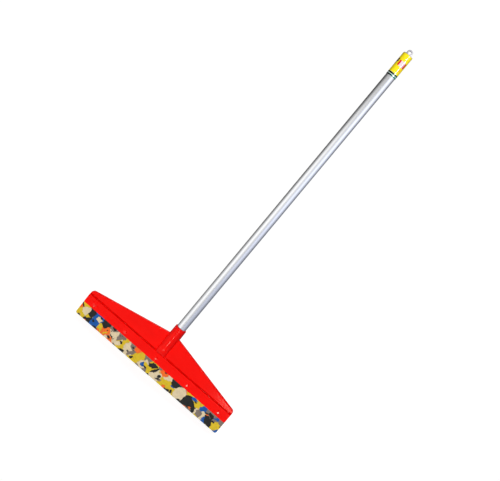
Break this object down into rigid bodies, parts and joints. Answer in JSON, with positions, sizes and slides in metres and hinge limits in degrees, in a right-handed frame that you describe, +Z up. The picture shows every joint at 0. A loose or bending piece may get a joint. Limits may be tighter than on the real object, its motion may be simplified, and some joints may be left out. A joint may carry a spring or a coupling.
{
  "type": "floor squeegee",
  "caption": "Floor squeegee with a mottled foam blade riveted between a fan-shaped moulded head and a rear strip, on a round screw-in tube handle with a hanging eye.",
  "frame": {"origin": "middle of the foam blade's lower edge face", "axes": "+X along the blade, -Y the front of the head with the rivet heads, +Z up along the handle"},
  "size_m": [0.4, 0.0305, 0.8771],
  "materials": {
    "red_polypropylene": "glossy moulded plastic",
    "mottled_foam": "matte foam with patches of several colours",
    "bright_aluminium": "bright drawn tube",
    "pale_polypropylene": "satin moulded plastic",
    "yellow_label": "glossy printed film"
  },
  "bodies": {
    "head": {"head_body": "red_polypropylene", "rear_strip": "red_polypropylene", "rivet_stud_1": "red_polypropylene", "rivet_stud_2": "red_polypropylene", "rivet_stud_3": "red_polypropylene", "rivet_stud_4": "red_polypropylene", "rivet_stud_5": "red_polypropylene", "rivet_cap_1": "red_polypropylene", "rivet_cap_2": "red_polypropylene", "rivet_cap_3": "red_polypropylene", "rivet_cap_4": "red_polypropylene", "rivet_cap_5": "red_polypropylene", "foam_blade": "mottled_foam"},
    "handle": {"handle_tube": "bright_aluminium", "threaded_tip": "pale_polypropylene", "hang_cap": "pale_polypropylene", "label_sleeve": "yellow_label"}
  },
  "joints": [
    {"name": "handle_slide", "type": "slide", "parent": "head", "child": "handle", "axis": [0, 0, 1], "range_m": [0, 0.047]}
  ]
}
